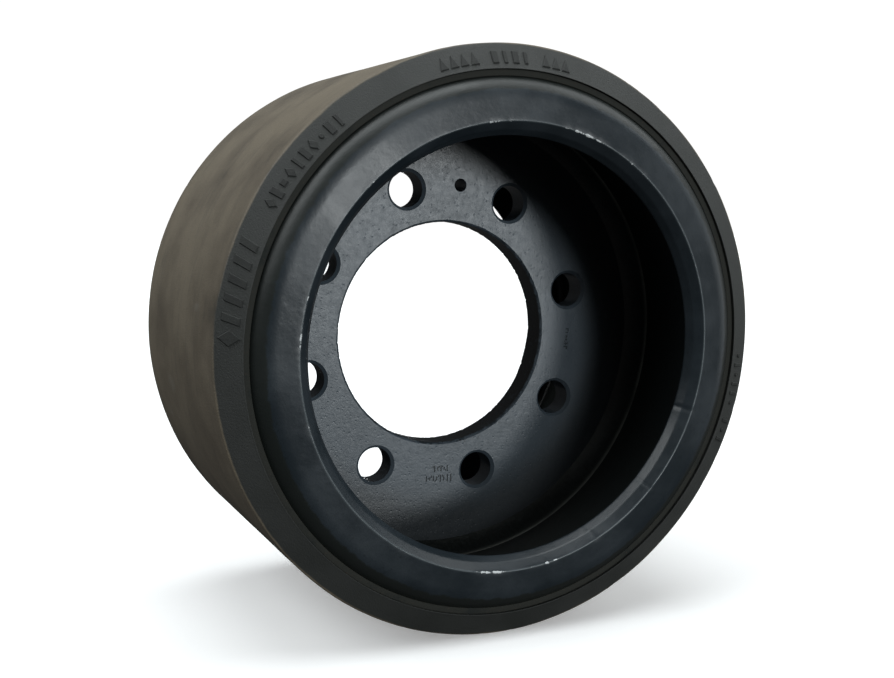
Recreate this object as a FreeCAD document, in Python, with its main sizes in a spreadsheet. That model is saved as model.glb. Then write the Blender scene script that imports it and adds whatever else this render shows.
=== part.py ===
"""Rubber-tyred mid-roller wheel for a rubber-track undercarriage.

Millimetres. The origin is the wheel's centre, the axle line is Y, and +Z is up.
The outboard side of the wheel faces -Y; the hub bolts on from the inboard side, +Y.
Axial places are distances from the tyre's centre plane, y = 0.
"""
import FreeCAD, Part
import math
import os

import Sketcher

V = FreeCAD.Vector

DIMENSIONS = {
    # tyre: rubber bonded on its steel band
    "tread_radius": 184.0,
    "tread_half_width": 94.0,
    "tread_corner_radius": 1.5,
    "rubber_root_radius": 168.0,
    "sidewall_root_axial": 102.0,
    "band_bore_radius": 164.0,
    "band_half_width": 97.5,
    "band_chamfer": 0.8,
    # rim halves: barrel, shoulder, flat face and in-turned lip
    "barrel_inner_radius": 154.4,
    "seat_end_axial": 99.6,
    "shoulder_radius": 159.4,
    "shoulder_axial": 107.8,
    "shoulder_round": 8.0,
    "face_edge_axial": 111.2,
    "lip_back_axial": 100.2,
    "lip_corner_fillet": 6.0,
    "lip_edge_round": 0.8,
    "outer_face_edge_radius": 137.5,
    "outer_lip_radius": 129.0,
    "inner_face_edge_radius": 132.5,
    "inner_lip_radius": 124.0,
    # seam between the rim halves
    "seam_axial": 6.0,
    "seam_groove_outboard": 2.5,
    "seam_groove_inboard": 9.5,
    "seam_root_radius": 158.0,
    # centre disc, its rim bevelled on both sides for the welds
    "disc_front_axial": 4.0,
    "disc_back_axial": 16.0,
    "bevel_radius": 146.4,
    "bevel_front_axial": 4.0,
    "bevel_back_axial": 8.0,
    "pilot_radius": 76.2,
    "pilot_chamfer": 1.5,
    "bolt_circle_radius": 101.6,
    "bolt_hole_radius": 12.0,
    "bolt_hole_count": 8,
    "bolt_hole_chamfer": 2.0,
    "first_bolt_angle": 105.5,
    "small_hole_radius": 4.25,
    "small_hole_angle": 83.0,
    # welds between disc and barrel: they fill the bevels and run up the barrel
    "weld_front_toe_axial": 21.0,
    "weld_back_toe_axial": 33.0,
    "weld_face_radius": 26.0,
}

TOLERANCE = 1e-4


def make_sheet(doc):
    """Spreadsheet that drives every sketch and feature."""
    sheet = doc.addObject("Spreadsheet::Sheet", "Dimensions")
    for row, (alias, value) in enumerate(DIMENSIONS.items(), start=1):
        sheet.set(f"A{row}", alias)
        sheet.set(f"B{row}", str(value))
        sheet.setAlias(f"B{row}", alias)
    doc.recompute()
    return sheet


def size(term):
    """Value of a dimension's name, with a minus sign in front for the outboard side."""
    if term.startswith("-"):
        return -DIMENSIONS[term[1:]]
    return DIMENSIONS[term]


def formula(term):
    """The same term as an expression on the spreadsheet."""
    if term.startswith("-"):
        return f"-Dimensions.{term[1:]}"
    return f"Dimensions.{term}"


def origin_plane(body, role):
    return next(item for item in body.Origin.OriginFeatures if item.Role == role)


def new_body(doc, label):
    body = doc.addObject("PartDesign::Body", label)
    body.Label = label
    return body


def new_sketch(body, name, plane_role):
    sketch = body.newObject("Sketcher::SketchObject", name)
    sketch.AttachmentSupport = [(origin_plane(body, plane_role), "")]
    sketch.MapMode = "FlatFace"
    return sketch


def constrain(sketch, kind, geometry, name, term):
    """Add a dimension to a sketch and bind it to the spreadsheet."""
    sketch.addConstraint(Sketcher.Constraint(kind, *geometry, size(term)))
    sketch.renameConstraint(sketch.ConstraintCount - 1, name)
    sketch.setExpression(f"Constraints.{name}", formula(term))


def section_sketch(body, name, corners, hollow_side=None):
    """Half section in the YZ plane, its corners given as (axial, radial) terms.

    hollow_side names the radius of an arc that closes the outline from its last
    corner to its first, bulging towards the corner between them.
    """
    sketch = new_sketch(body, name, "YZ_Plane")
    points = [V(size(axial), size(radial), 0) for axial, radial in corners]
    straight = len(points) if hollow_side is None else len(points) - 1
    for start in range(straight):
        end = (start + 1) % len(points)
        sketch.addGeometry(Part.LineSegment(points[start], points[end]), False)
    if hollow_side is not None:
        add_hollow_arc(sketch, points, size(hollow_side))
    for index, (axial, radial) in enumerate(corners):
        line, end = (index, 1) if index < straight else (index - 1, 2)
        constrain(sketch, "DistanceX", (-1, 1, line, end), f"axial_{index}", axial)
        constrain(sketch, "DistanceY", (-1, 1, line, end), f"radial_{index}", radial)
    for index in range(straight):
        if index + 1 < straight or hollow_side is None:
            following = (index + 1) % straight
            sketch.addConstraint(Sketcher.Constraint("Coincident", index, 2, following, 1))
    if hollow_side is not None:
        join_arc(sketch, straight, straight - 1)
        constrain(sketch, "Radius", (straight,), "arc_radius", hollow_side)
    return sketch


def add_hollow_arc(sketch, points, radius):
    """Arc between the outline's ends, hollow as seen from outside the metal."""
    first, last, root = points[0], points[-1], points[1]
    middle = (first + last) * 0.5
    half_chord = (last - first).Length / 2
    across = (last - first).cross(V(0, 0, 1)).normalize()
    if across.dot(root - middle) < 0:
        across = -across
    rise = radius - math.sqrt(radius ** 2 - half_chord ** 2)
    sketch.addGeometry(Part.Arc(last, middle + across * rise, first), False)


def join_arc(sketch, arc, last_line):
    """Tie the arc's ends to the first line's start and the last line's end."""
    start_point = sketch.getPoint(arc, 1)
    first_point = sketch.getPoint(0, 1)
    near, far = (1, 2) if start_point.distanceToPoint(first_point) < TOLERANCE else (2, 1)
    sketch.addConstraint(Sketcher.Constraint("Coincident", 0, 1, arc, near))
    sketch.addConstraint(Sketcher.Constraint("Coincident", last_line, 2, arc, far))


def turned_ring(doc, label, corners, hollow_side=None):
    """Body turned from a half section about the axle line."""
    body = new_body(doc, label)
    sketch = section_sketch(body, f"{label}_section", corners, hollow_side)
    turning = body.newObject("PartDesign::Revolution", f"{label}_turning")
    turning.Profile = sketch
    turning.ReferenceAxis = (sketch, ["H_Axis"])
    turning.Angle = 360.0
    body.Tip = turning
    doc.recompute()
    return body


def round_edges(shape, radius, axial):
    """Names of the circular edges about any Y line with this radius and place."""
    names = []
    for number, edge in enumerate(shape.Edges, start=1):
        curve = edge.Curve
        if curve.TypeId != "Part::GeomCircle":
            continue
        if abs(curve.Radius - radius) < TOLERANCE and abs(curve.Center.y - axial) < TOLERANCE:
            names.append(f"Edge{number}")
    return names


def dress_edges(doc, body, kind, name, rings, size_name):
    """Fillet or chamfer the edges at each (radius, axial) pair of terms."""
    base = body.Tip
    edges = []
    for radius, axial in rings:
        found = round_edges(base.Shape, size(radius), size(axial))
        if not found:
            raise RuntimeError(f"{name}: no edge at {radius}, {axial}")
        edges += found
    dressing = body.newObject(f"PartDesign::{kind}", name)
    dressing.Base = (base, edges)
    driven = "Radius" if kind == "Fillet" else "Size"
    dressing.setExpression(driven, formula(size_name))
    body.Tip = dressing
    doc.recompute()
    return dressing


def make_tyre(doc):
    """Rubber tread and both sidewalls, hollow for the band."""
    body = turned_ring(doc, "tyre", [
        ("-sidewall_root_axial", "rubber_root_radius"),
        ("-tread_half_width", "tread_radius"),
        ("tread_half_width", "tread_radius"),
        ("sidewall_root_axial", "rubber_root_radius"),
    ])
    corners = [("tread_radius", "-tread_half_width"), ("tread_radius", "tread_half_width")]
    dress_edges(doc, body, "Fillet", "tread_corners", corners, "tread_corner_radius")
    return body


def make_tyre_band(doc):
    """Steel base band of the press-on tyre, its edges recessed behind the rubber."""
    body = turned_ring(doc, "tyre_band", [
        ("-band_half_width", "band_bore_radius"),
        ("-band_half_width", "rubber_root_radius"),
        ("band_half_width", "rubber_root_radius"),
        ("band_half_width", "band_bore_radius"),
    ])
    corners = [("band_bore_radius", "-band_half_width"), ("band_bore_radius", "band_half_width")]
    dress_edges(doc, body, "Chamfer", "band_lead_in", corners, "band_chamfer")
    return body


def make_rim_half(doc, label, side, groove_axial, face_edge_radius, lip_radius):
    """Barrel from the seam to the in-turned lip; side is "-" outboard and "" inboard."""
    body = turned_ring(doc, label, [
        ("seam_axial", "barrel_inner_radius"),
        ("seam_axial", "seam_root_radius"),
        (groove_axial, "band_bore_radius"),
        (f"{side}seat_end_axial", "band_bore_radius"),
        (f"{side}shoulder_axial", "shoulder_radius"),
        (f"{side}face_edge_axial", face_edge_radius),
        (f"{side}lip_back_axial", lip_radius),
        (f"{side}lip_back_axial", "barrel_inner_radius"),
    ])
    shoulder = [("shoulder_radius", f"{side}shoulder_axial")]
    dress_edges(doc, body, "Fillet", f"{label}_shoulder", shoulder, "shoulder_round")
    corner = [("barrel_inner_radius", f"{side}lip_back_axial")]
    dress_edges(doc, body, "Fillet", f"{label}_corner", corner, "lip_corner_fillet")
    lip = [(face_edge_radius, f"{side}face_edge_axial"), (lip_radius, f"{side}lip_back_axial")]
    dress_edges(doc, body, "Fillet", f"{label}_lip", lip, "lip_edge_round")
    return body


def make_seam_weld(doc):
    """Butt weld between the rim halves, ground flush with the barrel."""
    return turned_ring(doc, "rim_seam_weld", [
        ("seam_axial", "seam_root_radius"),
        ("seam_groove_inboard", "band_bore_radius"),
        ("seam_groove_outboard", "band_bore_radius"),
    ])


def make_disc_weld(doc, label, face_axial, bevel_axial, toe_axial):
    """Hollow-faced weld that fills the disc's bevel and runs up the barrel."""
    return turned_ring(doc, label, [
        (toe_axial, "barrel_inner_radius"),
        (bevel_axial, "barrel_inner_radius"),
        (face_axial, "bevel_radius"),
    ], hollow_side="weld_face_radius")


def make_centre_disc(doc):
    """Plate with the pilot bore, the bolt circle and one small through hole."""
    body = turned_ring(doc, "centre_disc", [
        ("-disc_front_axial", "pilot_radius"),
        ("-disc_front_axial", "bevel_radius"),
        ("bevel_front_axial", "barrel_inner_radius"),
        ("bevel_back_axial", "barrel_inner_radius"),
        ("disc_back_axial", "bevel_radius"),
        ("disc_back_axial", "pilot_radius"),
    ])
    bolt_hole = cut_hole(doc, body, "bolt_hole", "first_bolt_angle", "bolt_hole_radius")
    pattern = body.newObject("PartDesign::PolarPattern", "bolt_circle")
    pattern.Originals = [bolt_hole]
    pattern.Axis = (bolt_hole.Profile[0], ["N_Axis"])
    pattern.Angle = 360.0
    pattern.setExpression("Occurrences", formula("bolt_hole_count"))
    body.Tip = pattern
    doc.recompute()
    cut_hole(doc, body, "small_hole", "small_hole_angle", "small_hole_radius")
    faces = ["-disc_front_axial", "disc_back_axial"]
    pilot = [("pilot_radius", face) for face in faces]
    dress_edges(doc, body, "Chamfer", "pilot_edges", pilot, "pilot_chamfer")
    holes = [("bolt_hole_radius", face) for face in faces]
    dress_edges(doc, body, "Chamfer", "bolt_hole_edges", holes, "bolt_hole_chamfer")
    return body


def cut_hole(doc, body, name, angle_name, radius_name):
    """Through hole on the bolt circle at the named angle, 0 to the right and 90 up."""
    before = body.Tip.Shape.Volume
    sketch = new_sketch(body, f"{name}_sketch", "XZ_Plane")
    angle = math.radians(size(angle_name))
    reach = size("bolt_circle_radius")
    centre = V(reach * math.cos(angle), reach * math.sin(angle), 0)
    sketch.addGeometry(Part.Circle(centre, V(0, 0, 1), size(radius_name)), False)
    sketch.addGeometry(Part.LineSegment(V(0, 0, 0), centre), True)
    sketch.addConstraint(Sketcher.Constraint("Coincident", 1, 1, -1, 1))
    sketch.addConstraint(Sketcher.Constraint("Coincident", 1, 2, 0, 3))
    constrain(sketch, "Radius", (0,), "hole_radius", radius_name)
    constrain(sketch, "Distance", (1,), "circle_radius", "bolt_circle_radius")
    sketch.addConstraint(Sketcher.Constraint("Angle", 1, angle))
    sketch.renameConstraint(sketch.ConstraintCount - 1, "hole_angle")
    sketch.setExpression("Constraints.hole_angle", f"{formula(angle_name)} * 1 deg")
    cut = body.newObject("PartDesign::Pocket", name)
    cut.Profile = sketch
    cut.Type = "ThroughAll"
    cut.SideType = "Symmetric"
    body.Tip = cut
    doc.recompute()
    thickness = size("disc_front_axial") + size("disc_back_axial")
    expected = math.pi * size(radius_name) ** 2 * thickness
    if abs(before - cut.Shape.Volume - expected) > 0.01 * expected:
        raise RuntimeError(f"{name} didn't cut the whole plate")
    return cut


def build(doc):
    """Every piece of the wheel, from the tread inwards."""
    return [
        make_tyre(doc),
        make_tyre_band(doc),
        make_rim_half(doc, "rim_outer", "-", "seam_groove_outboard",
                      "outer_face_edge_radius", "outer_lip_radius"),
        make_rim_half(doc, "rim_inner", "", "seam_groove_inboard",
                      "inner_face_edge_radius", "inner_lip_radius"),
        make_seam_weld(doc),
        make_centre_disc(doc),
        make_disc_weld(doc, "disc_weld_outer", "-disc_front_axial", "bevel_front_axial",
                       "-weld_front_toe_axial"),
        make_disc_weld(doc, "disc_weld_inner", "disc_back_axial", "bevel_back_axial",
                       "weld_back_toe_axial"),
    ]


def check(doc, bodies):
    """Stop if any feature failed or any piece isn't one sound solid."""
    for item in doc.Objects:
        if "Invalid" in item.State or "Error" in item.State:
            raise RuntimeError(f"{item.Name} failed: {item.State}")
    for body in bodies:
        shape = body.Shape
        if shape.isNull() or not shape.isValid() or len(shape.Solids) != 1:
            raise RuntimeError(f"{body.Label} isn't one sound solid")


def main():
    doc = FreeCAD.newDocument("TrackRollerWheel")
    make_sheet(doc)
    bodies = build(doc)
    doc.recompute()
    check(doc, bodies)
    os.makedirs("parts", exist_ok=True)
    for body in bodies:
        body.Shape.exportStep(f"parts/{body.Label}.step")
        print(f"{body.Label}: {body.Shape.Volume / 1000:.1f} cm3")


main()
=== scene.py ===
"""Looks of the rubber-tyred roller wheel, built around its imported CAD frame.

Metres, in the wheel's own frame: the axle line is Y, the outboard side faces -Y and +Z is up.
Angles round the wheel are seen from the outboard side, 0 to the right and 90 up, in degrees.
"""
import math
import random

import bmesh
import bpy
from mathutils import Matrix, Vector, noise


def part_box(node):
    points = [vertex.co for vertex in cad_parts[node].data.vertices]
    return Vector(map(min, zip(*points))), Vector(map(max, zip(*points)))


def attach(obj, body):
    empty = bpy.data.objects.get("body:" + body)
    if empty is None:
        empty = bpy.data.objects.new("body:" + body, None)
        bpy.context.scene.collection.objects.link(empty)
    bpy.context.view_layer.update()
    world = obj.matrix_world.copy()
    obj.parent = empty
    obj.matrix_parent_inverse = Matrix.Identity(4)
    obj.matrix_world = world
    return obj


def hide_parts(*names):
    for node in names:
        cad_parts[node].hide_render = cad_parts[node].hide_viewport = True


MM = 0.001

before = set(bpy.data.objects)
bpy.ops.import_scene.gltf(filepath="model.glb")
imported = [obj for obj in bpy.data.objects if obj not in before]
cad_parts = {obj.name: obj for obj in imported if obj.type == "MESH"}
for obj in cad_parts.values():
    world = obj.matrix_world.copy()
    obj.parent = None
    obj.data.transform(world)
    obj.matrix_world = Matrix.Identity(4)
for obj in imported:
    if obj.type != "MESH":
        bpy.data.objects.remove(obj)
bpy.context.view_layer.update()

# Sizes read from the frame
TYRE_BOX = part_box("tyre")
RIM_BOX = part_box("rim_outer")
DISC_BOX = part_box("centre_disc")
TREAD_R = TYRE_BOX[1].z
SIDEWALL_ROOT_Y = TYRE_BOX[1].y
BARREL_R = DISC_BOX[1].z
RIM_SEAT_R = RIM_BOX[1].z
FACE_Y = -RIM_BOX[0].y
DISC_FRONT = DISC_BOX[0].y
DISC_BACK = DISC_BOX[1].y
DISC_MIDDLE = (DISC_FRONT + DISC_BACK) / 2
OUTER_TOE_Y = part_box("disc_weld_outer")[0].y
INNER_TOE_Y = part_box("disc_weld_inner")[1].y

# Section sizes that a box can't give, the same as the CAD part's
TREAD_HALF_WIDTH = 94 * MM
RUBBER_ROOT_R = 168 * MM
SEAT_END_Y = 99.6 * MM
SHOULDER_R = 159.4 * MM
SHOULDER_Y = 107.8 * MM
LIP_BACK_Y = 100.2 * MM
OUTER_FACE_EDGE_R = 137.5 * MM
OUTER_LIP_R = 129 * MM
INNER_FACE_EDGE_R = 132.5 * MM
INNER_LIP_R = 124 * MM
SEAM_ROOT_R = 158 * MM
SEAM_HALF_GROOVE = 3.5 * MM
BEVEL = 8 * MM
PILOT_R = 76.2 * MM
BOLT_CIRCLE_R = 101.6 * MM
BOLT_HOLE_R = 12 * MM
BOLT_HOLES = 8
FIRST_BOLT_ANGLE = 105.5
SMALL_HOLE_R = 4.25 * MM
SMALL_HOLE_ANGLE = 83.0

# Places that belong to the looks alone
BAND_END_Y = 100.2 * MM
BLACK_EDGE_R = 156.4 * MM

# Edges sharper than this, in degrees, are shaded as edges
SHARP_EDGE = 32
CUT_SHARP_EDGE = 28


# ---------------------------------------------------------------- meshes

def polar(radius, degrees, axial):
    angle = math.radians(degrees)
    return Vector((radius * math.cos(angle), axial, radius * math.sin(angle)))


def new_piece(name, vertices, faces, material):
    """Mesh object that rides on the wheel, smooth but for its sharp edges."""
    mesh = bpy.data.meshes.new(name)
    mesh.from_pydata(vertices, [], faces)
    mesh.validate()
    mesh.shade_smooth()
    mesh.set_sharp_from_angle(angle=math.radians(SHARP_EDGE))
    piece = bpy.data.objects.new(name, mesh)
    bpy.context.scene.collection.objects.link(piece)
    mesh.materials.append(material)
    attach(piece, "root")
    return piece


def rounded(corner, before, after, radius, pieces=6):
    """Points of the arc that rounds a corner between its two straight runs."""
    to_before = (before - corner).normalized()
    to_after = (after - corner).normalized()
    half_angle = to_before.angle(to_after) / 2
    reach = radius / math.tan(half_angle)
    centre = corner + (to_before + to_after).normalized() * (radius / math.sin(half_angle))
    start = corner + to_before * reach - centre
    end = corner + to_after * reach - centre
    turn = start.angle(end)
    points = []
    for step in range(pieces + 1):
        share = step / pieces
        arm = (start * math.sin((1 - share) * turn) + end * math.sin(share * turn)) / math.sin(turn)
        points.append(centre + arm)
    return points


def section(corners):
    """Closed half section from (axial, radial, rounding, step of the run that follows)."""
    places = [Vector((axial, radial)) for axial, radial, _, _ in corners]
    count = len(corners)
    groups = []
    for index, (_, _, rounding, _) in enumerate(corners):
        before, after = places[index - 1], places[(index + 1) % count]
        if rounding:
            groups.append(rounded(places[index], before, after, rounding))
        else:
            groups.append([places[index]])
    points = []
    for index, group in enumerate(groups):
        points += group
        start, end = group[-1], groups[(index + 1) % count][0]
        cuts = max(1, round((end - start).length / corners[index][3]))
        points += [start.lerp(end, cut / cuts) for cut in range(1, cuts)]
    return points


def ring_mesh(points, segments, shift=None):
    """Vertices and faces of a closed section turned about the axle line.

    shift(angle, axial, radial) gives the (axial, radial) move of one point.
    """
    vertices = []
    for segment in range(segments):
        degrees = 360 * segment / segments
        for axial, radial in points:
            if shift:
                move_axial, move_radial = shift(degrees, axial, radial)
            else:
                move_axial, move_radial = 0, 0
            vertices.append(polar(radial + move_radial, degrees, axial + move_axial))
    count = len(points)
    clockwise = sum(a.x * b.y - b.x * a.y for a, b in zip(points, points[1:] + points[:1])) < 0
    faces = []
    for segment in range(segments):
        here, there = segment * count, (segment + 1) % segments * count
        for index in range(count):
            follow = (index + 1) % count
            face = (here + index, here + follow, there + follow, there + index)
            faces.append(face if clockwise else face[::-1])
    return vertices, faces


def ripple(degrees, axial, size, seed):
    """Smooth noise that closes up round the wheel, -1 to 1."""
    place = polar(TREAD_R / size, degrees, axial / size) + Vector((seed, 0, 0))
    return noise.noise(place)


def angle_gap(degrees, other):
    return abs((degrees - other + 180) % 360 - 180)


# ---------------------------------------------------------------- materials

class Shader:
    """A material's node tree, with short calls for the nodes that it is made of."""

    def __init__(self, name, roughness, specular=0.5):
        self.material = bpy.data.materials.new(name)
        self.material.use_nodes = True
        self.tree = self.material.node_tree
        self.surface = self.tree.nodes["Principled BSDF"]
        self.surface.inputs["Roughness"].default_value = roughness
        self.surface.inputs["Specular IOR Level"].default_value = specular
        self.place = self.node("ShaderNodeTexCoord").outputs["Object"]
        split = self.node("ShaderNodeSeparateXYZ", Vector=self.place)
        self.x, self.y, self.z = split.outputs
        self.radius = self.math("SQRT", self.math("ADD", self.math("MULTIPLY", self.x, self.x),
                                                  self.math("MULTIPLY", self.z, self.z)))
        self.axial = self.math("ABSOLUTE", self.y)

    def node(self, kind, **inputs):
        made = self.tree.nodes.new(kind)
        for name, value in inputs.items():
            self.feed(made.inputs[name], value)
        return made

    def feed(self, socket, value):
        if isinstance(value, bpy.types.NodeSocket):
            self.tree.links.new(value, socket)
        else:
            socket.default_value = value

    def math(self, operation, *values):
        made = self.tree.nodes.new("ShaderNodeMath")
        made.operation = operation
        for socket, value in zip(made.inputs, values):
            self.feed(socket, value)
        return made.outputs[0]

    def stretched(self, x=1.0, y=1.0, z=1.0):
        """The place with its axes scaled, for noise that runs round the wheel."""
        made = self.node("ShaderNodeVectorMath", Vector=self.place)
        made.operation = "MULTIPLY"
        made.inputs[1].default_value = (x, y, z)
        return made.outputs[0]

    def noise(self, per_metre, detail=4.0, rough=0.55, place=None):
        """Cloudy noise, 0 to 1, with so many waves to the metre."""
        made = self.node("ShaderNodeTexNoise", Vector=place or self.place, Scale=per_metre,
                         Detail=detail, Roughness=rough)
        return made.outputs["Fac"]

    def cells(self, per_metre):
        """Distance from the middle of the nearest cell, for pits and pores."""
        made = self.node("ShaderNodeTexVoronoi", Vector=self.place, Scale=per_metre)
        return made.outputs["Distance"]

    def ramp(self, value, low, high, to_low=0.0, to_high=1.0):
        """Smooth step of value from low to high."""
        made = self.node("ShaderNodeMapRange", Value=value)
        made.interpolation_type = "SMOOTHSTEP"
        for name, number in (("From Min", low), ("From Max", high),
                             ("To Min", to_low), ("To Max", to_high)):
            made.inputs[name].default_value = number
        return made.outputs["Result"]

    def mix(self, share, first, second):
        """First colour at share 0, second at 1."""
        made = self.tree.nodes.new("ShaderNodeMix")
        made.data_type = "RGBA"
        colours = [socket for socket in made.inputs if socket.type == "RGBA"]
        self.feed(made.inputs["Factor"], share)
        for socket, colour in zip(colours, (first, second)):
            self.feed(socket, colour if isinstance(colour, bpy.types.NodeSocket) else (*colour, 1))
        return next(socket for socket in made.outputs if socket.type == "RGBA")

    def attribute(self, name):
        made = self.node("ShaderNodeAttribute")
        made.attribute_name = name
        return made.outputs["Fac"]

    def colour(self, value):
        self.feed(self.surface.inputs["Base Color"], value)

    def roughness(self, value):
        self.feed(self.surface.inputs["Roughness"], value)

    def bump(self, *layers):
        """Layers of (height socket, depth in metres), one over another."""
        normal = None
        for height, depth in layers:
            made = self.node("ShaderNodeBump", Height=height, Distance=depth)
            if normal:
                self.feed(made.inputs["Normal"], normal)
            normal = made.outputs["Normal"]
        self.feed(self.surface.inputs["Normal"], normal)


SIDEWALL_BLACK = (0.007, 0.009, 0.007)
SIDEWALL_BLOOM = (0.015, 0.017, 0.015)
TREAD_RUBBER = (0.093, 0.073, 0.048)
TREAD_DUST = (0.145, 0.117, 0.078)
TREAD_DARK = (0.055, 0.049, 0.036)
SCUFF_PALE = (0.20, 0.19, 0.165)
PAINT_BLUE = (0.013, 0.019, 0.024)
PAINT_PALE = (0.024, 0.032, 0.039)
PAINT_GRIME = (0.006, 0.010, 0.012)
SHOULDER_BLACK = (0.010, 0.013, 0.012)
BARREL_BLACK = (0.005, 0.007, 0.006)
DISC_PAINT = (0.055, 0.073, 0.090)
DISC_PALE = (0.080, 0.101, 0.122)
# Dark grime on the disc's bore and specks, also used as painted shade towards the barrel
DISC_GRIME_AND_SHADE = (0.016, 0.020, 0.023)
CHIP_WHITE = (0.62, 0.65, 0.66)
EDGE_PALE = (0.085, 0.105, 0.115)
# Painted highlight along the weld toe, in the colour of bare steel
PAINTED_TOE_HIGHLIGHT = (0.25, 0.255, 0.23)
BAND_GREY = (0.021, 0.022, 0.018)
RUST_BROWN = (0.055, 0.038, 0.026)
MARK_BLACK = (0.010, 0.011, 0.010)


def make_rubber():
    """Black sidewalls with a chalky bloom, and a dusty tan tread worn by the track."""
    shader = Shader("tyre_rubber", 0.8, specular=0.9)
    blotch = shader.noise(16, 5, 0.6)
    grain = shader.noise(900, 3, 0.6)
    round_the_wheel = shader.noise(1.0, 5, 0.65, shader.stretched(26, 260, 26))
    bloom = shader.mix(shader.ramp(blotch, 0.38, 0.68), SIDEWALL_BLACK, SIDEWALL_BLOOM)
    dusty = shader.mix(shader.ramp(blotch, 0.32, 0.66), TREAD_RUBBER, TREAD_DUST)
    dusty = shader.mix(shader.ramp(round_the_wheel, 0.5, 0.72, 0.0, 0.4), dusty, TREAD_DARK)
    dusty = shader.mix(shader.ramp(grain, 0.52, 0.7, 0.0, 0.35), dusty, TREAD_DARK)
    dusty = shader.mix(shader.attribute("scuff"), dusty, SCUFF_PALE)
    edge_noise = shader.math("MULTIPLY", shader.math("SUBTRACT", blotch, 0.5), 0.004)
    on_tread = shader.ramp(shader.math("ADD", shader.radius, edge_noise),
                           TREAD_R - 1.6 * MM, TREAD_R - 0.5 * MM)
    shader.colour(shader.mix(on_tread, bloom, dusty))
    shader.roughness(shader.ramp(blotch, 0.3, 0.7, 0.62, 0.80))
    pores = shader.ramp(shader.cells(520), 0.0, 0.35)
    shader.bump((blotch, 0.5 * MM), (grain, 0.22 * MM), (pores, 0.05 * MM))
    return shader.material


def make_mark_rubber():
    """The same rubber on the raised marks, blotched paler in places."""
    shader = Shader("mark_rubber", 0.72, specular=0.6)
    blotch = shader.noise(60, 4, 0.6)
    grain = shader.noise(900, 3, 0.6)
    shader.colour(shader.mix(shader.ramp(blotch, 0.35, 0.65), MARK_BLACK, SIDEWALL_BLOOM))
    shader.bump((grain, 0.2 * MM))
    return shader.material


def make_rim_paint():
    """Blue-grey primer on the faces, black shoulder and barrel, paint knocked off the edges."""
    shader = Shader("rim_paint", 0.42, specular=0.5)
    cloud = shader.noise(22, 5, 0.6)
    fine = shader.noise(420, 4, 0.6)
    peel = shader.noise(190, 2, 0.5)
    paint = shader.mix(shader.ramp(cloud, 0.35, 0.68), PAINT_BLUE, PAINT_PALE)
    paint = shader.mix(shader.ramp(fine, 0.58, 0.74, 0.0, 0.5), paint, PAINT_GRIME)
    ragged = shader.math("MULTIPLY", shader.math("SUBTRACT", shader.noise(120, 5, 0.7), 0.5), 0.006)
    on_shoulder = shader.ramp(shader.math("ADD", shader.radius, ragged),
                              BLACK_EDGE_R - 1.0 * MM, BLACK_EDGE_R + 0.6 * MM)
    paint = shader.mix(on_shoulder, paint, SHOULDER_BLACK)
    inside = shader.ramp(shader.axial, LIP_BACK_Y - 1.5 * MM, LIP_BACK_Y + 0.8 * MM, 1.0, 0.0)
    paint = shader.mix(inside, paint, BARREL_BLACK)
    chip_noise = shader.noise(760, 4, 0.7)
    worn = shader.math("ADD", shader.attribute("wear_and_highlight"),
                       shader.math("MULTIPLY", shader.math("SUBTRACT", chip_noise, 0.5), 0.9))
    chip = shader.ramp(worn, 0.50, 0.56)
    paint = shader.mix(shader.ramp(shader.attribute("edge"), 0.3, 0.9, 0.0, 0.6), paint, EDGE_PALE)
    shader.colour(shader.mix(chip, paint, CHIP_WHITE))
    gloss = shader.ramp(cloud, 0.3, 0.7, 0.29, 0.40)
    shader.roughness(shader.math("ADD", gloss, shader.math("MULTIPLY", on_shoulder, 0.08)))
    depth = shader.math("SUBTRACT", 1.0, chip)
    shader.bump((peel, 0.12 * MM), (fine, 0.05 * MM), (depth, 0.12 * MM))
    return shader.material


def make_disc_paint():
    """Primer over mill scale: mottled and pitted, with painted shade darkening it towards the barrel
    and a darker bore wall.
    """
    shader = Shader("disc_paint", 0.38, specular=0.6)
    cloud = shader.noise(18, 5, 0.6)
    scale = shader.noise(230, 4, 0.6)
    fine = shader.noise(700, 3, 0.6)
    pits = shader.ramp(shader.cells(300), 0.0, 0.28)
    paint = shader.mix(shader.ramp(cloud, 0.35, 0.68), DISC_PAINT, DISC_PALE)
    paint = shader.mix(shader.ramp(scale, 0.56, 0.76, 0.0, 0.35), paint, PAINT_GRIME)
    # Painted shade: the paint darkens towards the barrel, where the lip shades the recessed disc
    edge = shader.math("ADD", shader.radius,
                       shader.math("MULTIPLY", shader.math("SUBTRACT", cloud, 0.5), 0.02))
    paint = shader.mix(shader.ramp(edge, 102 * MM, 132 * MM, 0.0, 0.92), paint, DISC_GRIME_AND_SHADE)
    bore = shader.math("ADD", shader.radius,
                       shader.math("MULTIPLY", shader.math("SUBTRACT", scale, 0.5), 0.006))
    paint = shader.mix(shader.ramp(bore, PILOT_R + 0.3 * MM, PILOT_R + 0.9 * MM, 0.8, 0.0),
                       paint, DISC_GRIME_AND_SHADE)
    specks = shader.math("MULTIPLY", shader.ramp(shader.noise(480, 4, 0.7), 0.58, 0.64),
                         shader.ramp(shader.radius, PILOT_R + 2 * MM, PILOT_R + 6 * MM, 0.9, 0.0))
    paint = shader.mix(specks, paint, DISC_GRIME_AND_SHADE)
    paint = shader.mix(shader.math("MULTIPLY", shader.attribute("stamped"), 0.9),
                       paint, PAINT_GRIME)
    shader.colour(paint)
    shader.roughness(shader.ramp(scale, 0.3, 0.7, 0.35, 0.42))
    shader.bump((scale, 0.11 * MM), (fine, 0.08 * MM), (pits, 0.10 * MM))
    return shader.material


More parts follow.
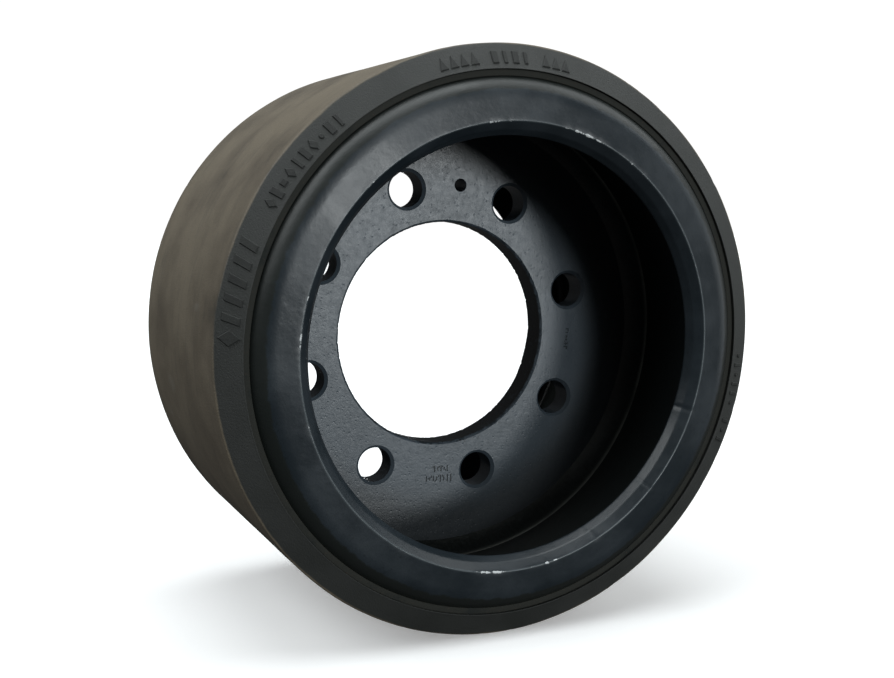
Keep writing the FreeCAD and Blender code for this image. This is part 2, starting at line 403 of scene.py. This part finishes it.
def make_weld_paint():
    """Black overspray on the weld beads, with a painted highlight in bare-steel colour along the toe
    on the barrel.
    """
    shader = Shader("weld_paint", 0.42)
    scale = shader.noise(300, 4, 0.6)
    paint = shader.mix(shader.ramp(scale, 0.4, 0.7), BARREL_BLACK, SHOULDER_BLACK)
    # Painted highlight: pale bare-steel colour along the toe
    shader.colour(shader.mix(shader.attribute("wear_and_highlight"), paint, PAINTED_TOE_HIGHLIGHT))
    shader.bump((scale, 0.25 * MM))
    return shader.material


def make_band_steel():
    """Dull overpainted steel at the band's edge, browned where rubber has let go."""
    shader = Shader("band_steel", 0.75, specular=0.3)
    blotch = shader.noise(45, 5, 0.65)
    fine = shader.noise(500, 3, 0.6)
    steel = shader.mix(shader.ramp(blotch, 0.5, 0.72), BAND_GREY, SHOULDER_BLACK)
    steel = shader.mix(shader.ramp(fine, 0.6, 0.75, 0.0, 0.6), steel, RUST_BROWN)
    shader.colour(steel)
    shader.bump((fine, 0.1 * MM))
    return shader.material


# ---------------------------------------------------------------- tyre

TYRE_SEGMENTS = 540
RIDGE_WIDTH = 0.8 * MM
RIDGE_HEIGHT = 0.25 * MM
TREAD_CORNER_ROUND = 1.6 * MM
TREAD_WAVE = 0.15 * MM
BITE_DEPTH = 0.8 * MM
BITE_WIDTH = 2.5 * MM
BITE_REACH = 3 * MM
SCUFF_STRENGTH = 0.5
SIDEWALL_RISE = (SIDEWALL_ROOT_Y - TREAD_HALF_WIDTH) / (TREAD_R - RUBBER_ROOT_R)
SCUFFS = [
    # angle, axial place, half length round the wheel in degrees, half width
    (189, 30 * MM, 2.2, 12 * MM),
    (197, 62 * MM, 1.6, 7 * MM),
    (171, -50 * MM, 1.0, 9 * MM),
    (32, 40 * MM, 2.6, 14 * MM),
    (-65, -20 * MM, 2.2, 10 * MM),
]


def sidewall_axial(radius):
    """How far out the bare sidewall stands at a radius."""
    return TREAD_HALF_WIDTH + (TREAD_R - radius) * SIDEWALL_RISE


def tyre_section():
    ridge_r = RUBBER_ROOT_R + RIDGE_WIDTH
    ridge_y = sidewall_axial(ridge_r)
    half = [
        (SIDEWALL_ROOT_Y + RIDGE_HEIGHT, RUBBER_ROOT_R, 0.2 * MM, 1 * MM),
        (ridge_y + RIDGE_HEIGHT, ridge_r, 0.2 * MM, 1 * MM),
        (ridge_y, ridge_r + 0.4 * MM, 0.15 * MM, 2 * MM),
        (TREAD_HALF_WIDTH, TREAD_R, TREAD_CORNER_ROUND, 5 * MM),
    ]
    outboard = [(-axial, radial, rounding, step) for axial, radial, rounding, step in half]
    inboard = []
    for index in range(len(half) - 1, -1, -1):
        axial, radial, rounding, _ = half[index]
        step = half[index - 1][3] if index else 20 * MM
        inboard.append((axial, radial, rounding, step))
    return section(outboard + inboard)


def tread_shift(degrees, axial, radial):
    """Slight waviness of used rubber, with small bites out of the tread's corners."""
    if radial < RUBBER_ROOT_R + RIDGE_WIDTH:
        return 0, 0
    sink = TREAD_WAVE * (ripple(degrees, axial, size=30 * MM, seed=3) - 1)
    if radial <= TREAD_R - BITE_REACH:
        return 0, sink
    on_corner = max(0.0, 1 - abs(abs(axial) - TREAD_HALF_WIDTH) / BITE_WIDTH)
    bite = max(0.0, ripple(degrees, axial, size=6 * MM, seed=11) - 0.35)
    return 0, sink - BITE_DEPTH * bite * on_corner


def make_tyre(material):
    vertices, faces = ring_mesh(tyre_section(), TYRE_SEGMENTS, tread_shift)
    tyre = new_piece("tyre_moulding", vertices, faces, material)
    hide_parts("tyre")
    scuff = tyre.data.attributes.new("scuff", "FLOAT", "POINT")
    for index, place in enumerate(vertices):
        scuff.data[index].value = scuff_at(place)
    return tyre


def scuff_at(place):
    """How pale the tread is at a place, from 0 to 1."""
    if math.hypot(place.x, place.z) < TREAD_R - 2 * MM:
        return 0.0
    degrees = math.degrees(math.atan2(place.z, place.x))
    strongest = 0.0
    for angle, axial, half_turn, half_width in SCUFFS:
        along = angle_gap(degrees, angle) / half_turn
        across = abs(place.y - axial) / half_width
        ragged = 0.5 + ripple(degrees, place.y, size=5 * MM, seed=23)
        inside = max(0.0, 1 - along ** 2 - across ** 2)
        strongest = max(strongest, inside * ragged)
    return min(1.0, strongest) * SCUFF_STRENGTH


# ---------------------------------------------------------------- raised marks

MARK_HEIGHT = 0.85 * MM
MARK_ROOT = -0.6 * MM
MARK_DRAFT = 0.4 * MM


def bar(width, height, slant=0.0):
    """Four-sided mark; slant leans its top along the wheel."""
    half_w, half_h = width / 2, height / 2
    return [(-half_w - slant, -half_h), (half_w - slant, -half_h),
            (half_w + slant, half_h), (-half_w + slant, half_h)]


def arrow(width, height):
    """Triangle that points outwards."""
    return [(-width / 2, -height / 2), (width / 2, -height / 2), (0, height / 2)]


def lozenge(width, height):
    """Diamond that stands on its point."""
    return [(0, -height / 2), (width / 2, 0), (0, height / 2), (-width / 2, 0)]


def pip(size, sides=14):
    """Round dot."""
    turn = 2 * math.pi / sides
    return [(size / 2 * math.cos(turn * k), size / 2 * math.sin(turn * k)) for k in range(sides)]


def inset(shape, depth):
    """A convex outline, listed anticlockwise, with every side moved in by depth."""
    count = len(shape)
    moved = []
    for index in range(count):
        here = Vector(shape[index])
        before = (here - Vector(shape[index - 1])).normalized()
        after = (Vector(shape[(index + 1) % count]) - here).normalized()
        inwards = Vector((-before.y - after.y, before.x + after.x)).normalized()
        across = Vector((-before.y, before.x))
        moved.append(tuple(here + inwards * depth / inwards.dot(across)))
    return moved


def mark_on_sidewall(shape, degrees, radius, side):
    """Vertices and faces of one raised mark with drafted sides."""
    slope = math.atan(SIDEWALL_RISE)
    levels = [(shape, MARK_ROOT), (shape, MARK_HEIGHT - MARK_DRAFT),
              (inset(shape, MARK_DRAFT), MARK_HEIGHT)]
    vertices = []
    for outline, height in levels:
        for along, outwards in outline:
            bare = radius + outwards
            turn = side * math.degrees(along / radius)
            lifted = bare + height * math.sin(slope)
            axial = sidewall_axial(bare) + height * math.cos(slope)
            vertices.append(polar(lifted, degrees + turn, side * axial))
    count = len(shape)
    faces = [tuple(range(count))[::-1], tuple(range(2 * count, 3 * count))]
    for level in range(2):
        low, high = level * count, (level + 1) * count
        for index in range(count):
            follow = (index + 1) % count
            faces.append((low + index, low + follow, high + follow, high + index))
    if side > 0:
        faces = [face[::-1] for face in faces]
    return vertices, faces


def mark_row(name, material, shapes, first, pitch, radius, side=-1):
    """One piece with a row of marks, from angle first and pitch degrees apart."""
    vertices, faces = [], []
    for index, shape in enumerate(shapes):
        if shape is None:
            continue
        made, around = mark_on_sidewall(shape, first + side * pitch * index, radius, side)
        start = len(vertices)
        vertices += made
        faces += [tuple(start + corner for corner in face) for face in around]
    return new_piece(name, vertices, faces, material)


def make_marks(material):
    """Plain raised marks where such a tyre carries its mouldings."""
    small_arrow, small_bar = arrow(5.6 * MM, 7.4 * MM), bar(2.4 * MM, 7.4 * MM)
    block, half_block = bar(4.0 * MM, 7.4 * MM), bar(4.0 * MM, 3.4 * MM)
    diamond, dot = lozenge(5.2 * MM, 7.4 * MM), pip(3.0 * MM)
    top = [small_arrow] * 4 + [None] + [block, small_bar] * 2 + [None] + [small_arrow] * 3
    mark_row("sidewall_arrows", material, top, first=105.0, pitch=2.25, radius=174.8 * MM)
    code = [diamond, block, half_block, diamond, small_bar, block, diamond, dot, block, small_bar]
    mark_row("sidewall_tally", material, code, first=149.0, pitch=2.25, radius=174.4 * MM)
    badge = [lozenge(9.5 * MM, 12 * MM)] + [bar(4.6 * MM, 9.6 * MM, 1.2 * MM)] * 5
    mark_row("sidewall_lozenges", material, badge, first=175.0, pitch=3.5, radius=175.8 * MM)
    foot = [dot, small_bar, dot, small_bar, small_bar, dot, None, small_bar, dot, small_bar]
    mark_row("sidewall_pips", material, foot, first=-4.0, pitch=2.1, radius=175.8 * MM)
    mark_row("inboard_tally", material, code, first=50, pitch=2.25, radius=174.4 * MM, side=1)


# ---------------------------------------------------------------- rim

RIM_SEGMENTS = 720
SHOULDER_ROUND = 17 * MM
FACE_EDGE_ROUND = 0.9 * MM
SLOPE_SINK = 4.9 * MM
SLOPE_RISE = 3.6 * MM
SLOPE_ROUND = 7 * MM
LIP_CORNER_ROUND = 6.0 * MM
KNOCK_DEPTH = 0.35 * MM
KNOCK_REACH = 1.3 * MM
EDGE_REACH = 0.9 * MM
FACE_WAVE = 0.12 * MM
CHIPPED = [
    # angle, half length in degrees, strength of the knocks along the face's edge
    (71, 8, 1.15), (55, 6, 0.75), (95, 7, 0.85), (115, 5, 0.85), (133, 3, 1.0),
    (152, 2, 0.75), (171, 12, 0.84), (196, 3, 0.7), (236, 4, 0.6), (264, 6, 1.3),
    (280, 7, 1.1), (296, 3, 0.9), (20, 3, 0.55), (346, 3, 0.6),
]
NICKS = [
    # angle, depth
    (317, 0.55 * MM), (341, 0.5 * MM), (296, 0.4 * MM),
]
NICK_HALF_TURN = 0.55
NICK_INWARDS = 0.6
NICK_OUTWARDS = 0.7


def rim_section(side, seam_y, face_edge_r, lip_r):
    """Barrel, shoulder, face and in-turned lip; side is -1 outboard and 1 inboard."""
    groove_y = seam_y + side * SEAM_HALF_GROOVE
    return section([
        (seam_y, BARREL_R, 0, 1 * MM),
        (seam_y, SEAM_ROOT_R, 0, 3 * MM),
        (groove_y, RIM_SEAT_R, 0, 12 * MM),
        (side * SEAT_END_Y, RIM_SEAT_R, 0.8 * MM, 1.5 * MM),
        (side * SHOULDER_Y, SHOULDER_R, SHOULDER_ROUND, 1.5 * MM),
        (side * FACE_Y, face_edge_r, FACE_EDGE_ROUND, 1.0 * MM),
        (side * (FACE_Y - SLOPE_SINK), lip_r + SLOPE_RISE, SLOPE_ROUND, 1.0 * MM),
        (side * LIP_BACK_Y, lip_r, FACE_EDGE_ROUND, 2.5 * MM),
        (side * LIP_BACK_Y, BARREL_R, LIP_CORNER_ROUND, 8 * MM),
    ])


def knock(degrees, from_edge):
    """How hard the face's edge was knocked at an angle, fading away from the edge."""
    strongest = 0.0
    for angle, half_turn, strength in CHIPPED:
        along = max(0.0, 1 - (angle_gap(degrees, angle) / half_turn) ** 2)
        broken = 0.62 + 0.75 * ripple(degrees, 0, size=5 * MM, seed=31)
        strongest = max(strongest, strength * along ** 0.5 * broken)
    return strongest * math.exp(-(from_edge / KNOCK_REACH) ** 2)


def nick(degrees, radial, lip_r, face_edge_r):
    """Depth of the narrow dents struck across the bevel."""
    if not lip_r - 1 * MM < radial < face_edge_r + 1 * MM:
        return 0.0
    return sum(depth * math.exp(-(angle_gap(degrees, angle) / NICK_HALF_TURN) ** 2)
               for angle, depth in NICKS)


def make_rim_half(name, node, material, side, face_edge_r, lip_r):
    """One rim half, with how knocked and how near the edge of its face each point is."""
    def shift(degrees, axial, radial):
        if abs(axial) < LIP_BACK_Y - 2 * MM or radial > SHOULDER_R + 4 * MM:
            return 0, 0
        from_edge = math.hypot(radial - face_edge_r, abs(axial) - FACE_Y)
        sink = KNOCK_DEPTH * knock(degrees, from_edge)
        sink += FACE_WAVE * (1 + ripple(degrees, radial, size=22 * MM, seed=7))
        dent = nick(degrees, radial, lip_r, face_edge_r)
        return -side * (sink + NICK_INWARDS * dent), NICK_OUTWARDS * dent

    points = rim_section(side, DISC_MIDDLE, face_edge_r, lip_r)
    vertices, faces = ring_mesh(points, RIM_SEGMENTS, shift)
    rim = new_piece(name, vertices, faces, material)
    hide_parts(node)
    wear_and_highlight = rim.data.attributes.new("wear_and_highlight", "FLOAT", "POINT")
    edge = rim.data.attributes.new("edge", "FLOAT", "POINT")
    for index, place in enumerate(vertices):
        degrees = math.degrees(math.atan2(place.z, place.x))
        radial = math.hypot(place.x, place.z)
        from_edge = math.hypot(radial - face_edge_r, abs(place.y) - FACE_Y)
        wear_and_highlight.data[index].value = knock(degrees, from_edge)
        edge.data[index].value = math.exp(-(from_edge / EDGE_REACH) ** 2)
    return rim


# ---------------------------------------------------------------- welds

WELD_SEGMENTS = 1080
WELD_RIPPLE = 4.4 * MM
WELD_FACE_R = 26 * MM
WELD_LAG = 1.6 * MM
WELD_WAVE = 0.05 * MM
WELD_WANDER = 0.3 * MM
TOE_WIDTH = 2.0 * MM


def hollow_arc(start, end, root, radius, pieces=12):
    """Points of a weld's hollow face, from start to end, sagging towards the root."""
    middle = (start + end) / 2
    chord = end - start
    across = Vector((-chord.y, chord.x)).normalized()
    if across.dot(root - middle) < 0:
        across = -across
    centre = middle - across * math.sqrt(radius ** 2 - (chord.length / 2) ** 2)
    first, last = start - centre, end - centre
    turn = first.angle(last)
    points = []
    for step in range(pieces + 1):
        share = step / pieces
        arm = (first * math.sin((1 - share) * turn) + last * math.sin(share * turn))
        points.append(centre + arm / math.sin(turn))
    return points


def make_disc_weld(name, node, material, face_y, toe_y, side, seed):
    """Weld from the disc's bevel up the barrel, laid in overlapping ripples."""
    toe = Vector((toe_y, BARREL_R))
    root = Vector((face_y - side * BEVEL, BARREL_R))
    edge = Vector((face_y, BARREL_R - BEVEL))
    face = hollow_arc(edge, toe, root, WELD_FACE_R)
    points = face + [root]
    ripples = round(2 * math.pi * BARREL_R / WELD_RIPPLE)

    def shift(degrees, axial, radial):
        over_face = math.sin(math.pi * min(1.0, max(0.0, (axial - face_y) / (toe_y - face_y))))
        if radial > BARREL_R - 0.2 * MM or over_face <= 0:
            return 0, 0
        lag = WELD_LAG * over_face / BARREL_R
        wave = math.cos(ripples * (math.radians(degrees) + lag))
        wander = ripple(degrees, axial, size=12 * MM, seed=seed)
        rise = (WELD_WAVE * wave + WELD_WANDER * wander) * over_face
        return side * rise * 0.6, -rise

    vertices, faces = ring_mesh(points, WELD_SEGMENTS, shift)
    weld = new_piece(name, vertices, faces, material)
    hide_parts(node)
    wear_and_highlight = weld.data.attributes.new("wear_and_highlight", "FLOAT", "POINT")
    for index, place in enumerate(vertices):
        # Painted highlight: a bright band along the toe on the barrel, where the toe catches the
        # light
        toe_highlight = math.exp(-((place.y - toe_y) / TOE_WIDTH) ** 2)
        degrees = math.degrees(math.atan2(place.z, place.x))
        highlight_patchiness = 0.75 + 0.4 * ripple(degrees, 0, size=26 * MM, seed=seed + 5)
        wear_and_highlight.data[index].value = toe_highlight * max(0.0, min(1.0, highlight_patchiness))
    return weld


# ---------------------------------------------------------------- centre disc

DISC_SEGMENTS = 720
PILOT_CHAMFER = 1.5 * MM
HOLE_CHAMFER = 2.0 * MM
SMALL_HOLE_CHAMFER = 0.3 * MM
PIT_DEPTH = 0.9 * MM
GOUGE_DEPTH = 0.5 * MM
STAMP_DEPTH = 0.6 * MM
STAMP_CLEARANCE = 2 * MM
STAMP_SEED = 5
STAMP_ROWS = [
    # marks, pitch, angle, radius, height
    (8, 2.7 * MM, -91.5, 102.0 * MM, 5.4 * MM),
    (5, 2.4 * MM, -90.5, 95.0 * MM, 4.4 * MM),
    (6, 2.6 * MM, -4.3, 98.0 * MM, 3.4 * MM),
]


def disc_section():
    return section([
        (DISC_FRONT, PILOT_R + PILOT_CHAMFER, 0, 6 * MM),
        (DISC_FRONT, BARREL_R - BEVEL, 0, 4 * MM),
        (DISC_FRONT + BEVEL, BARREL_R, 0, 4 * MM),
        (DISC_BACK - BEVEL, BARREL_R, 0, 4 * MM),
        (DISC_BACK, BARREL_R - BEVEL, 0, 6 * MM),
        (DISC_BACK, PILOT_R + PILOT_CHAMFER, 0, 1 * MM),
        (DISC_BACK - PILOT_CHAMFER, PILOT_R, 0, 4 * MM),
        (DISC_FRONT + PILOT_CHAMFER, PILOT_R, 0, 1 * MM),
    ])


def bore_shift(degrees, axial, radial):
    """Flame-cut raggedness of the bore's edges."""
    if radial > PILOT_R + PILOT_CHAMFER + 0.1 * MM:
        return 0, 0
    near_face = min(abs(axial - DISC_FRONT), abs(axial - DISC_BACK))
    if near_face > 2 * MM:
        return 0, 0
    pit = max(0.0, ripple(degrees, axial, size=3.2 * MM, seed=41) - 0.18)
    gouge = max(0.0, ripple(degrees, axial, size=11 * MM, seed=43) - 0.25)
    return 0, PIT_DEPTH * pit + GOUGE_DEPTH * gouge


def hole_cutter(name, centre_angle, radius, chamfer, sides=72):
    """Spool that cuts one through hole and breaks its edges."""
    reach = 3 * MM
    profile = [
        (DISC_FRONT - reach, radius + chamfer + reach),
        (DISC_FRONT + chamfer, radius),
        (DISC_BACK - chamfer, radius),
        (DISC_BACK + reach, radius + chamfer + reach),
    ]
    centre = polar(BOLT_CIRCLE_R, centre_angle, 0)
    vertices = [centre + polar(wide, 360 * k / sides, axial)
                for axial, wide in profile for k in range(sides)]
    last = (len(profile) - 1) * sides
    faces = [tuple(range(sides)), tuple(range(last, last + sides))[::-1]]
    for level in range(len(profile) - 1):
        low, high = level * sides, (level + 1) * sides
        for k in range(sides):
            follow = (k + 1) % sides
            faces.append((low + k, high + k, high + follow, low + follow))
    return cutter_object(name, vertices, faces)


def stamp_cutter(name, marks):
    """Shallow boxes in the outboard face, as (along, outwards, width, height, angle, radius)."""
    vertices, faces = [], []
    for along, outwards, width, height, degrees, radius in marks:
        centre = polar(radius, degrees, DISC_FRONT)
        out = polar(1, degrees, 0)
        tangent = polar(1, degrees - 90, 0)
        start = len(vertices)
        for depth in (-STAMP_CLEARANCE, STAMP_DEPTH):
            for across, up in ((-0.5, -0.5), (0.5, -0.5), (0.5, 0.5), (-0.5, 0.5)):
                place = centre + tangent * (along + across * width) + out * (outwards + up * height)
                vertices.append(place + Vector((0, depth, 0)))
        for face in ((0, 1, 2, 3), (7, 6, 5, 4), (0, 4, 5, 1), (1, 5, 6, 2), (2, 6, 7, 3),
                     (3, 7, 4, 0)):
            faces.append(tuple(start + corner for corner in face))
    return cutter_object(name, vertices, faces)


def cutter_object(name, vertices, faces):
    mesh = bpy.data.meshes.new(name)
    mesh.from_pydata(vertices, [], faces)
    mesh.update()
    turn_outwards(mesh)
    cutter = bpy.data.objects.new(name, mesh)
    bpy.context.scene.collection.objects.link(cutter)
    return cutter


def turn_outwards(mesh):
    """Turn every face of a closed mesh to the outside, as the cuts need."""
    work = bmesh.new()
    work.from_mesh(mesh)
    bmesh.ops.recalc_face_normals(work, faces=work.faces)
    work.to_mesh(mesh)
    work.free()


def cut(piece, cutters):
    """Cut every cutter out of a piece, and drop the cutters."""
    for cutter in cutters:
        boolean = piece.modifiers.new(cutter.name, "BOOLEAN")
        boolean.operation = "DIFFERENCE"
        boolean.solver = "EXACT"
        boolean.object = cutter
    bpy.context.view_layer.update()
    graph = bpy.context.evaluated_depsgraph_get()
    made = bpy.data.meshes.new_from_object(piece.evaluated_get(graph))
    piece.modifiers.clear()
    piece.data = made
    made.shade_smooth()
    made.set_sharp_from_angle(angle=math.radians(CUT_SHARP_EDGE))
    for cutter in cutters:
        bpy.data.objects.remove(cutter)


def stamp_marks(rng, count, pitch, degrees, radius, height):
    """A row of small upright dashes, some with a dot beside them."""
    marks = []
    for index in range(count):
        along = (index - (count - 1) / 2) * pitch
        tall = rng.choice((1.0, 0.7, 1.0, 0.5))
        marks.append((along, 0, 0.9 * MM, height * tall, degrees, radius))
        if rng.random() < 0.7:
            marks.append((along + 1.25 * MM, height * rng.choice((-0.3, 0, 0.3)), 0.8 * MM,
                          height * 0.28, degrees, radius))
    return marks


def make_disc(material):
    vertices, faces = ring_mesh(disc_section(), DISC_SEGMENTS, bore_shift)
    disc = new_piece("disc_plate", vertices, faces, material)
    cutters = [hole_cutter(f"bolt_hole_{k}", FIRST_BOLT_ANGLE - 360 / BOLT_HOLES * k,
                           BOLT_HOLE_R, HOLE_CHAMFER) for k in range(BOLT_HOLES)]
    cutters.append(hole_cutter("small_hole", SMALL_HOLE_ANGLE, SMALL_HOLE_R,
                               SMALL_HOLE_CHAMFER, sides=40))
    rng = random.Random(STAMP_SEED)
    marks = [mark for row in STAMP_ROWS for mark in stamp_marks(rng, *row)]
    cutters.append(stamp_cutter("stamps", marks))
    cut(disc, cutters)
    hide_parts("centre_disc")
    mark_stamped(disc)
    return disc


def mark_stamped(disc):
    """Flag the floors of the stamped marks, where grime has settled."""
    stamped = disc.data.attributes.new("stamped", "FLOAT", "FACE")
    for face in disc.data.polygons:
        depth = face.center.y - DISC_FRONT
        on_floor = abs(depth - STAMP_DEPTH) < 0.4 * MM and face.normal.y < -0.9
        stamped.data[face.index].value = 1.0 if on_floor else 0.0


# ---------------------------------------------------------------- stage

CAMERA_PLACE = (-0.3410, -0.7445, 0.0955)
CAMERA_AZIMUTH = -22.17
CAMERA_ELEVATION = 9.47
CAMERA_LENS = 47.88
CAMERA_SHIFT = (0.0636, 0.0587)
FLOOR_SIZE = 6.0
FLOOR_PALE = 0.88
FLOOR_GLOW = 0.28
LIGHT_FROM_BELOW = 0.05
LIGHT_FROM_ABOVE = 0.06
BACKDROP_WHITE = 1.05
LIGHT_TINT = (0.95, 1.0, 1.015)
SUNS = [
    # name, where the light comes from, spread in degrees, strength
    ("ceiling", (0, 0, 1), 45, 1.8),
    ("left_ceiling", (-0.7, 0, 0.7), 45, 1.6),
    ("right_ceiling", (0.7, 0, 0.7), 45, 0.8),
    ("right_fill", (1, -0.2, 0.1), 40, 0.25),
    ("high_front", (0.12, -0.88, 0.46), 40, 0.34),
    ("key", (0.39, -0.92, -0.02), 11, 0.70),
    ("left_front", (0.12, -0.97, 0.20), 12, 0.58),
    ("back_fill", (0.30, 0.95, -0.05), 10, 0.6),
]


def make_camera():
    azimuth, elevation = math.radians(CAMERA_AZIMUTH), math.radians(CAMERA_ELEVATION)
    right = Vector((math.cos(azimuth), math.sin(azimuth), 0))
    back = Vector((math.sin(azimuth) * math.cos(elevation),
                   -math.cos(azimuth) * math.cos(elevation), math.sin(elevation)))
    up = back.cross(right)
    data = bpy.data.cameras.new("camera")
    data.sensor_width = 36
    data.lens = CAMERA_LENS
    data.shift_x, data.shift_y = CAMERA_SHIFT
    camera = bpy.data.objects.new("camera", data)
    turn = Matrix((right, up, back)).transposed()
    camera.matrix_world = Matrix.Translation(CAMERA_PLACE) @ turn.to_4x4()
    bpy.context.scene.collection.objects.link(camera)
    bpy.context.scene.camera = camera


def make_floor():
    """Plain pale floor under the tread, which neither lights nor shades the wheel."""
    size, height = FLOOR_SIZE, -TREAD_R
    mesh = bpy.data.meshes.new("floor")
    mesh.from_pydata([(-size, -size, height), (size, -size, height), (size, size, height),
                      (-size, size, height)], [], [(0, 1, 2, 3)])
    floor = bpy.data.objects.new("floor", mesh)
    bpy.context.scene.collection.objects.link(floor)
    material = bpy.data.materials.new("floor")
    material.use_nodes = True
    surface = material.node_tree.nodes["Principled BSDF"]
    surface.inputs["Base Color"].default_value = (FLOOR_PALE, FLOOR_PALE, FLOOR_PALE, 1)
    surface.inputs["Roughness"].default_value = 0.9
    surface.inputs["Emission Color"].default_value = (1, 1, 1, 1)
    surface.inputs["Emission Strength"].default_value = FLOOR_GLOW
    mesh.materials.append(material)
    floor.visible_diffuse = False
    floor.visible_glossy = False
    floor.visible_shadow = False


def make_world():
    """White surroundings for the eye; as light they are soft, and stronger from above."""
    world = bpy.data.worlds.new("studio")
    bpy.context.scene.world = world
    world.use_nodes = True
    tree = world.node_tree
    background = tree.nodes["Background"]
    background.inputs["Color"].default_value = (1, 1, 1, 1)
    direction = tree.nodes.new("ShaderNodeTexCoord")
    split = tree.nodes.new("ShaderNodeSeparateXYZ")
    tree.links.new(direction.outputs["Generated"], split.inputs["Vector"])
    sky = tree.nodes.new("ShaderNodeMapRange")
    sky.inputs["From Min"].default_value = -0.3
    sky.inputs["To Min"].default_value = LIGHT_FROM_BELOW
    sky.inputs["To Max"].default_value = LIGHT_FROM_ABOVE
    tree.links.new(split.outputs["Z"], sky.inputs["Value"])
    path = tree.nodes.new("ShaderNodeLightPath")
    strength = tree.nodes.new("ShaderNodeMapRange")
    strength.inputs["To Max"].default_value = BACKDROP_WHITE
    tree.links.new(path.outputs["Is Camera Ray"], strength.inputs["Value"])
    tree.links.new(sky.outputs["Result"], strength.inputs["To Min"])
    tree.links.new(strength.outputs["Result"], background.inputs["Strength"])


def make_sun(name, direction, spread, strength):
    """Soft even light that comes from a direction."""
    data = bpy.data.lights.new(name, "SUN")
    data.angle = math.radians(spread)
    data.energy = strength
    data.color = LIGHT_TINT
    sun = bpy.data.objects.new(name, data)
    sun.rotation_euler = Vector(direction).to_track_quat("Z", "Y").to_euler()
    bpy.context.scene.collection.objects.link(sun)


def make_stage():
    make_camera()
    make_floor()
    make_world()
    for sun in SUNS:
        make_sun(*sun)
    bpy.context.scene.view_settings.view_transform = "Standard"


# ---------------------------------------------------------------- the wheel

def main():
    rubber = make_rubber()
    rim_paint = make_rim_paint()
    weld_paint = make_weld_paint()
    make_tyre(rubber)
    make_marks(make_mark_rubber())
    make_rim_half("rim_outer_pressing", "rim_outer", rim_paint, -1, OUTER_FACE_EDGE_R, OUTER_LIP_R)
    make_rim_half("rim_inner_pressing", "rim_inner", rim_paint, 1, INNER_FACE_EDGE_R, INNER_LIP_R)
    make_disc_weld("outer_bead", "disc_weld_outer", weld_paint, DISC_FRONT, OUTER_TOE_Y, -1, seed=51)
    make_disc_weld("inner_bead", "disc_weld_inner", weld_paint, DISC_BACK, INNER_TOE_Y, 1, seed=57)
    make_disc(make_disc_paint())
    make_band(make_band_steel())
    dress_cad_node("rim_seam_weld", weld_paint)
    make_stage()


def make_band(material):
    """Band under the rubber, thick with paint and rubber flash at its two ends."""
    corners = [(-BAND_END_Y, RIM_SEAT_R), (-BAND_END_Y, RUBBER_ROOT_R),
               (BAND_END_Y, RUBBER_ROOT_R), (BAND_END_Y, RIM_SEAT_R)]
    points = section([(axial, radial, 0.5 * MM, 20 * MM) for axial, radial in corners])
    vertices, faces = ring_mesh(points, TYRE_SEGMENTS)
    band = new_piece("band_ring", vertices, faces, material)
    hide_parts("tyre_band")


def dress_cad_node(node, material):
    """Give a CAD node that keeps its own shape a better material."""
    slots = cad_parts[node].material_slots
    for material_slot in slots:
        material_slot.material = material


main()
